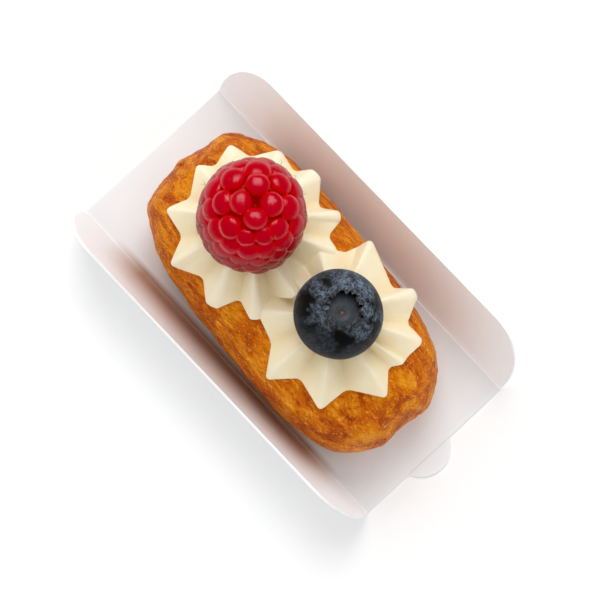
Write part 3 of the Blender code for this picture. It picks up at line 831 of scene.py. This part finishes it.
def raspberry():
    """In each direction the skin is the core plus the highest cushion: height times
    (1 - offset^n)^(1/n), where the offset is measured sideways from a drupelet's middle in
    half widths. Marks: cap is 1 on top and 0 at the waist, side is 1 away from the tip, and
    seam and rim follow the line where the highest two cushions are equally high."""
    angle = np.linspace(0, np.pi, RASPBERRY_ROWS)[::-1, None]
    bearing = np.linspace(0, 2 * np.pi, RASPBERRY_COLUMNS, endpoint=False)
    rays = toward(angle, bearing)
    lifted, second, cap, side = np.zeros((4, *rays.shape[:2]))
    power = DRUPELET_SQUARENESS
    for tilt, turn, size in drupelet_places():
        out = toward(tilt, turn)
        down = toward(tilt + np.pi / 2, turn)
        away = raspberry_core(np.array(tilt), turn) / size
        below = rays @ down * away / DRUPELET_ALONG
        beside = rays @ np.cross(out, down) * away / DRUPELET_ACROSS
        offset = np.where(rays @ out > 0, np.minimum(np.hypot(below, beside), 1), 1)
        cushion = (1 - offset**power) ** (1 / power)
        height = cushion * (1 + DRUPELET_LEAN * np.clip(below, -1, 1)) * size**2
        won = height > lifted
        second = np.where(won, lifted, np.maximum(second, height))
        lifted = np.where(won, height, lifted)
        cap = np.where(won, cushion, cap)
        side = np.where(won, below, side)
    hole = TIP_HOLE_DEPTH * np.exp(-((angle / TIP_HOLE_ANGLE) ** 2)) * (1 - cap)
    grid = rays * (raspberry_core(angle, bearing) - hole + DRUPELET_HEIGHT * lifted)[..., None]
    grid = leaned(grid, RASPBERRY_CENTRE, RASPBERRY_TILT)
    apart = lifted - second
    seam = smooth_step(SEAM_APART[1], SEAM_APART[0], apart)
    rim = smooth_step(*RIM_APART[:2], apart) * smooth_step(*RIM_APART[:1:-1], apart)
    rim = rim * smooth_step(*RIM_SIDE, side)
    return closed_grid("raspberry_skin", grid, cap=cap, side=side, seam=seam, rim=rim)


red_berry = raspberry()

# %% [markdown]
# Ripe raspberry flesh is a clear, saturated red: light enters a drupelet and glows in the
# creases between it and the next. Scattering gives some of that glow, and a brighter red in
# the creases is painted glow, with painted shade, a darker red, in their deepest hollows. The
# skin carries a fine down, which shows as a pale pink sheen round the waist of each
# drupelet; the marks made with the mesh lay a pale line there, which is painted sheen. The
# berry shades its own flanks, and the traced shade came out too light, so caps and creases
# are painted darker lower down.

# %% Raspberry skin
RASPBERRY_HOLLOW_SHADE = (0.50, 0.000, 0.000)
RASPBERRY_CREASE_GLOW = (0.60, 0.000, 0.000)
RASPBERRY_SHADE = (0.08, 0.000, 0.000)
RASPBERRY_CAP = (0.46, 0.000, 0.010)
RASPBERRY_DOWN_SHEEN = (0.60, 0.085, 0.08)
RASPBERRY_LOW_CAP = (0.27, 0.000, 0.004)


def raspberry_skin():
    material, tree, shader = new_material(
        "raspberry_skin",
        Subsurface_Weight=0.12,
        Subsurface_Radius=(1.0, 0.1, 0.1),
        Subsurface_Scale=0.6 * MM,
        Specular_IOR_Level=0.22,
        Specular_Tint=(1.0, 0.8, 0.8, 1.0),
    )
    at = places(tree)
    cap = mark(tree, "cap")
    height = parts(tree, at)["Z"]
    # Creases: painted glow, a brighter red, and painted shade in their deepest hollows
    crease = ramp(tree, cap, (0.1, RASPBERRY_HOLLOW_SHADE), (0.5, RASPBERRY_CREASE_GLOW))
    crease = blend(tree, levels(tree, height, 41.0, 37.0), crease, RASPBERRY_SHADE)
    cap_tone = ramp(tree, levels(tree, height, 42.0, 35.0), (0.0, RASPBERRY_CAP), (1.0, RASPBERRY_LOW_CAP))
    colour = blend(tree, levels(tree, cap, 0.55, 0.9), crease, cap_tone)
    colour = blend(tree, product(tree, mark(tree, "seam"), 0.85), colour, crease)
    # The pale line round each drupelet's waist is painted sheen of the down
    waist = product(tree, levels(tree, cap, 0.92, 0.84), levels(tree, cap, 0.62, 0.74))
    outer = levels(tree, mark(tree, "side"), 0.1, 0.7)
    waist = product(tree, waist, outer, levels(tree, height, 38.0, 42.0, (0.0, 0.6)))
    waist = blend(tree, 1.0, waist, mark(tree, "rim"), "LIGHTEN")
    down_sheen = product(tree, waist, levels(tree, speckle(tree, at, 2.5, 3), 0.3, 0.6, (0.3, 0.85)))
    colour = blend(tree, down_sheen, colour, RASPBERRY_DOWN_SHEEN)
    relief = bump(tree, speckle(tree, at, 1.5, 4, 0.6, 1.5), 0.08 * MM, 0.6)
    connect(tree, shader, colour, relief, levels(tree, height, 41.5, 34.0, (0.06, 0.25)))
    return material


settle(red_berry, "raspberry", raspberry_skin())

# %% [markdown]
# Dry brown styles, the threads that were on the flower, stay between the drupelets. Each is a
# thin tube bent in a quarter curve. They could be a hair system, but thirty short tubes made
# in one array travel with the model to any program.

# %% Threads on the raspberry
THREAD_COUNT = 30
THREAD_STEPS = 7
THREAD_SIDES = 5
# Threads grow outside the two rings at the tip, which hold this many drupelets
TIP_DRUPELETS = 13
THREAD_BESIDE = 0.17
THREAD_FOOT_SHARE = 0.9
THREAD_RISE = 0.9 * MM
THREAD_TAPER = 0.6
THREAD_RADIUS = 0.05 * MM
THREAD_LENGTH = (0.9 * MM, 1.7 * MM)
THREAD_BROWN = (0.38, 0.100, 0.030)


def threads():
    """Axis of a thread: start + out * rise * t + way * length * t + bend * t^2, for t from 0 to 1.
    Its rings thin out towards the end."""
    draw = np.random.default_rng(8)
    places_left = np.array(list(drupelet_places()))[TIP_DRUPELETS:]
    tilt, turn, _ = draw.choice(places_left, THREAD_COUNT, replace=False).T
    turn = turn + THREAD_BESIDE
    out = toward(tilt, turn)
    across = toward(np.pi / 2, turn + np.pi / 2)
    down = np.cross(across, out)
    start = out * (raspberry_core(tilt, turn) + THREAD_FOOT_SHARE * DRUPELET_HEIGHT)[:, None]
    heading = draw.uniform(0, 2 * np.pi, THREAD_COUNT)[:, None]
    length = draw.uniform(*THREAD_LENGTH, THREAD_COUNT)[:, None]
    way = (across * np.cos(heading) + down * np.sin(heading)) * length + out * THREAD_RISE
    curl = draw.uniform(-0.7, 0.7, (THREAD_COUNT, 1))
    bend = (down * np.cos(heading) - across * np.sin(heading)) * length * curl
    t = np.linspace(0, 1, THREAD_STEPS)[:, None]
    axis = start[:, None] + way[:, None] * t + bend[:, None] * t**2
    sideways = np.cross(way, out)
    sideways /= np.linalg.norm(sideways, axis=-1, keepdims=True)
    turned = np.linspace(0, 2 * np.pi, THREAD_SIDES, endpoint=False)[:, None]
    ring = sideways[:, None] * np.cos(turned) + out[:, None] * np.sin(turned)
    radius = THREAD_RADIUS * (1 - THREAD_TAPER * t)
    points = axis[:, :, None] + ring[:, None] * radius[:, None]
    here = np.arange((THREAD_STEPS - 1) * THREAD_SIDES).reshape(-1, THREAD_SIDES)
    right = np.roll(here, -1, axis=1)
    sides = np.stack([here, right, right + THREAD_SIDES, here + THREAD_SIDES], -1).reshape(-1, 4)
    ends = np.stack([here[0, ::-1], here[-1] + THREAD_SIDES])
    first = np.arange(THREAD_COUNT)[:, None, None] * THREAD_STEPS * THREAD_SIDES
    faces = (sides + first).reshape(-1, 4).tolist() + (ends + first).reshape(-1, THREAD_SIDES).tolist()
    mesh = bpy.data.meshes.new("raspberry_threads")
    mesh.from_pydata(leaned(points.reshape(-1, 3), RASPBERRY_CENTRE, RASPBERRY_TILT), [], faces)
    return show("raspberry_threads", mesh)


dry_brown, _, _ = new_material("dry_brown", Base_Color=(*THREAD_BROWN, 1.0), Roughness=0.6)
settle(threads(), "raspberry", dry_brown)

# %% [markdown]
# A blueberry is a flattened ball. At its blossom end stands a ragged crown round a pit with
# a flat floor and a small scar. Cutting the pit with a boolean would give a clean edge, so
# the skin is drawn as one profile, from the bottom up over the torn rim, back under it and
# across the floor, and the rim's height and reach change round the berry.

# %% Sizes of the blueberry
BLUEBERRY_CENTRE = np.array((11.1, 1.6, 32.9)) * MM
BLUEBERRY_TILT = np.radians((-8.0, 7.0))
BLUEBERRY_RADIUS = 8.5 * MM
BLUEBERRY_HALF_HEIGHT = 6.6 * MM
CROWN_FOOT_RADIUS = 4.3 * MM
CROWN_EDGE_RADIUS = 3.35 * MM
CROWN_RISE = 0.6 * MM
PIT_WALL_RADIUS = 3.9 * MM
PIT_FLOOR_RADIUS = 2.6 * MM
# The floor lies a little to one side
PIT_FLOOR_SHIFT = np.array((0.22, -0.20)) * MM
PIT_DEPTH = 2.1 * MM
SCAR_RADIUS = 0.32 * MM
CROWN_FLAPS = 12
BLUEBERRY_COLUMNS = 420
# Where fingers rubbed the bloom away: a point in mm and how wide
RUBBED_SPOTS = ((6.3, -1.9, 37.6, 3.1), (15.7, -1.4, 37.9, 2.6), (17.2, 4.6, 35.5, 1.8))
# The wax colour is blended in more strongly towards this way
BLOOM_SIDE_WAY = np.array((-0.3, 0.9, 0.3))
BODY_ROWS = 100
CROWN_STEPS = 12


# %% Shape the blueberry
def ragged(bearing, seed):
    """An uneven edge round the crown: pointed flaps of uneven width and depth with smaller
    tears between them, -1 to 1."""
    ring = np.stack([np.cos(bearing), np.sin(bearing), 0 * bearing], -1)
    turn = CROWN_FLAPS * bearing / (2 * np.pi) + 0.9 * noise(ring * 2.4, 1.0, seed)
    flap = 1 - 4 * np.abs(turn % 1 - 0.5)
    depth = 0.65 + 0.9 * noise(ring * 3.1, 1.0, seed + 1)
    return np.clip(flap * depth + 0.8 * noise(ring * 12.0, 1.0, seed + 2), -1.2, 1.2)


def blueberry():
    """Rows of (radius, height) from the bottom up: the ball, the crown, the pit's wall, its
    floor. Between two named stations the rows are evenly spaced."""
    bearing = np.linspace(0, 2 * np.pi, BLUEBERRY_COLUMNS, endpoint=False)
    foot_angle = np.arcsin(CROWN_FOOT_RADIUS / BLUEBERRY_RADIUS)
    angle = np.linspace(np.pi, foot_angle, BODY_ROWS)[:, None]
    ball = (BLUEBERRY_RADIUS * np.sin(angle), BLUEBERRY_HALF_HEIGHT * np.cos(angle))
    body = np.stack([part + 0 * bearing for part in ball])
    top = BLUEBERRY_HALF_HEIGHT * np.cos(foot_angle)
    edge = ragged(bearing, 21)
    lift = ragged(bearing, 27)
    floor = top - PIT_DEPTH
    shoulder = (CROWN_FOOT_RADIUS + CROWN_EDGE_RADIUS) / 2
    stations = [
        (CROWN_FOOT_RADIUS, top),
        (shoulder + 0.15 * MM * edge, top + CROWN_RISE * (0.7 + 0.4 * lift)),
        (CROWN_EDGE_RADIUS - 0.72 * MM * edge, top + CROWN_RISE * (0.9 + 0.7 * lift)),
        (CROWN_EDGE_RADIUS - 0.75 * MM * edge, top + CROWN_RISE * (0.6 + 0.7 * lift)),
        (PIT_WALL_RADIUS, top - 0.25 * MM),
        (PIT_WALL_RADIUS, floor + 0.3 * MM),
        (PIT_FLOOR_RADIUS, floor),
        (PIT_FLOOR_RADIUS * 0.55, floor + 0.12 * MM),
        (SCAR_RADIUS * 2.6, floor),
        (SCAR_RADIUS * 1.3, floor - 0.22 * MM),
        (SCAR_RADIUS * 0.8, floor - 0.05 * MM),
        (0, floor + 0.08 * MM),
    ]
    stations = np.array([[part + 0 * bearing for part in pair] for pair in stations])
    spot = np.linspace(0, len(stations) - 1, (len(stations) - 1) * CROWN_STEPS + 1)[1:]
    before = np.minimum(spot.astype(int), len(stations) - 2)
    share = (spot - before)[:, None, None]
    crown = stations[before] * (1 - share) + stations[before + 1] * share
    radius, height = np.concatenate([body, crown.transpose(1, 0, 2)], 1)
    grid = np.stack([radius * np.cos(bearing), radius * np.sin(bearing), height], -1)
    wobble = noise(grid / MM, 5.0, 31) * smooth_step(0, 3 * MM, radius)
    grid = grid + grid * (0.012 * wobble)[..., None]
    inner = smooth_step(PIT_WALL_RADIUS - 0.2 * MM, PIT_FLOOR_RADIUS, radius)
    inner[:BODY_ROWS + 4 * CROWN_STEPS] = 0.0
    grid[..., :2] += PIT_FLOOR_SHIFT * inner[..., None]
    torn = np.zeros(radius.shape)
    torn[BODY_ROWS + CROWN_STEPS:BODY_ROWS + 4 * CROWN_STEPS] = 1.0
    scar = smooth_step(SCAR_RADIUS * 1.25, SCAR_RADIUS * 0.75, radius) * inner
    berry = leaned(grid, BLUEBERRY_CENTRE, BLUEBERRY_TILT)
    rubbed_and_pit_shade = np.zeros(radius.shape)
    # From the pit's wall inwards the bloom is left off, so the wall shows near black as painted shade under
    # the torn rim
    rubbed_and_pit_shade[BODY_ROWS + 4 * CROWN_STEPS:] = 1.0
    for *middle, size in RUBBED_SPOTS:
        away = np.linalg.norm(berry / MM - middle, axis=-1) + 3.0 * noise(berry / MM, 2.0, 33)
        away = away + 1.6 * noise(berry / MM, 0.8, 35)
        rubbed_and_pit_shade = np.maximum(rubbed_and_pit_shade, np.exp(-((away / size) ** 2)))
    bloom_side = smooth_step(-6 * MM, 4 * MM, (berry - BLUEBERRY_CENTRE) @ BLOOM_SIDE_WAY)
    marks = {"inner": inner, "torn": torn, "scar": scar, "rubbed_and_pit_shade": rubbed_and_pit_shade, "bloom_side": bloom_side}
    return closed_grid("blueberry_skin", berry, **marks)


blue_berry = blueberry()

# %% [markdown]
# Under its bloom a blueberry is nearly black. The bloom is a dusty blue-grey wax that is
# rubbed away in patches by handling, and it is blended in more strongly towards one side.
# Inside the pit it is left off, so the wall under the torn rim shows near black: painted
# shade. So the colour is two things blended by noise of two sizes, and where the wax is
# gone the skin is smoother.

# %% Blueberry skin
BARE_SKIN = (0.005, 0.004, 0.004)
WAX_BLOOM = (0.175, 0.225, 0.295)
THIN_BLOOM = (0.013, 0.014, 0.016)
PIT_FLOOR = (0.085, 0.099, 0.118)
TORN_EDGE = (0.030, 0.020, 0.016)
SCAR_COLOUR = (0.36, 0.12, 0.03)


def blueberry_skin():
    material, tree, shader = new_material("blueberry_skin", Specular_IOR_Level=0.12)
    at = places(tree)
    patches = speckle(tree, at, 0.26, 5, 0.65, 0.8)
    grain = speckle(tree, at, 1.7, 6, 0.8, 0.6)
    # The bloom is left off where it was rubbed away and, as painted shade, on the pit's wall
    kept = levels(tree, mark(tree, "rubbed_and_pit_shade"), 0.75, 0.25)
    thin = product(tree, levels(tree, patches, 0.34, 0.5), kept)
    colour = blend(tree, thin, BARE_SKIN, THIN_BLOOM)
    bloom_side = levels(tree, mark(tree, "bloom_side"), 0.15, 0.9, (0.15, 1.0))
    wax = product(tree, levels(tree, patches, 0.36, 0.58), levels(tree, grain, 0.43, 0.58), kept, bloom_side)
    colour = blend(tree, wax, colour, WAX_BLOOM)
    torn = product(tree, mark(tree, "torn"), levels(tree, grain, 0.62, 0.42))
    colour = blend(tree, torn, colour, TORN_EDGE)
    floor_tone = blend(tree, levels(tree, grain, 0.35, 0.65, (0.55, 1.0)), BARE_SKIN, PIT_FLOOR)
    colour = blend(tree, mark(tree, "inner"), colour, floor_tone)
    colour = blend(tree, mark(tree, "scar"), colour, SCAR_COLOUR)
    rough = levels(tree, wax, 0.0, 0.6, (0.42, 0.75))
    connect(tree, shader, colour, bump(tree, grain, 0.06 * MM, 0.5), rough)
    return material


settle(blue_berry, "blueberry", blueberry_skin())

# %% [markdown]
# The stage is a plain pale floor. The light is that of a product table: a white room all
# round and one weak softbox high on the far side of the card, so that shadows stay soft. Two
# tall softboxes beside it light nothing and only glint in glossy skins, and the room isn't
# mirrored in them. Real lamps can't be split like that: ones bright enough for those glints
# would wash out the white card. The camera looks almost straight down through a long lens.

# %% Floor, light and camera
FLOOR_SIZE = 3.0
FLOOR_DROP = 0.1 * MM
FLOOR_TONE = 0.97
# Each softbox: width, height, distance, angle from overhead, bearing, shift to its side, watts,
# and whether it only glints
SOFTBOXES = (
    (0.50, 0.50, 0.9, 33, 137, 0.0, 3.1, False),
    (0.26, 0.54, 0.9, 32, 130, -0.15, 4.4, True),
    (0.26, 0.54, 0.9, 32, 130, 0.15, 4.4, True),
)
ROOM_STRENGTH = 0.81
CAMERA_ELEVATION = np.radians(82.5)
CAMERA_AZIMUTH = np.radians(47.1)
CAMERA_TARGET = Vector((1.1 * MM, 1.1 * MM, 0.0))
CAMERA_DISTANCE = 0.5
CAMERA_LENS = 150


def floor():
    bpy.ops.mesh.primitive_plane_add(size=FLOOR_SIZE, location=(0, 0, -FLOOR_DROP))
    plane = bpy.context.object
    plane.name = "pale_floor"
    pale = (*[FLOOR_TONE] * 3, 1.0)
    material, _, _ = new_material("pale_floor", Base_Color=pale, Roughness=0.9, Specular_IOR_Level=0.0)
    plane.data.materials.append(material)


def softbox(width, height, distance, tilt, bearing, shift, watts, glints):
    """A rectangular light that faces the eclair, and either lights it or only glints in it."""
    light = bpy.data.lights.new("softbox", "AREA")
    light.shape = "RECTANGLE"
    light.size, light.size_y, light.energy = width, height, watts
    lamp = put_in("softbox", light)
    lamp.visible_diffuse, lamp.visible_glossy = not glints, glints
    way = Vector(toward(*np.radians((tilt, bearing))))
    turn = way.to_track_quat("Z", "Y")
    lamp.location = way * distance + turn @ Vector((shift, 0, 0))
    lamp.rotation_euler = turn.to_euler()


def room():
    world = bpy.data.worlds.new("white_room")
    world.use_nodes = True
    background = world.node_tree.nodes["Background"]
    background.inputs["Color"].default_value = (1.0, 1.0, 1.0, 1.0)
    background.inputs["Strength"].default_value = ROOM_STRENGTH
    # The room lights the object but isn't mirrored in its glossy skins
    world.cycles_visibility.glossy = False
    bpy.context.scene.world = world


def camera():
    data = bpy.data.cameras.new("camera")
    data.lens = CAMERA_LENS
    data.clip_start = 0.01
    eye = put_in("camera", data)
    back = Vector(toward(np.pi / 2 - CAMERA_ELEVATION, CAMERA_AZIMUTH - np.pi / 2))
    eye.location = CAMERA_TARGET + back * CAMERA_DISTANCE
    eye.rotation_euler = back.to_track_quat("Z", "Y").to_euler()
    bpy.context.scene.camera = eye


floor()
for softbox_row in SOFTBOXES:
    softbox(*softbox_row)
room()
camera()
print("lamps:", len(SOFTBOXES), "room:", ROOM_STRENGTH)
bpy.context.scene.view_settings.view_transform = "Standard"
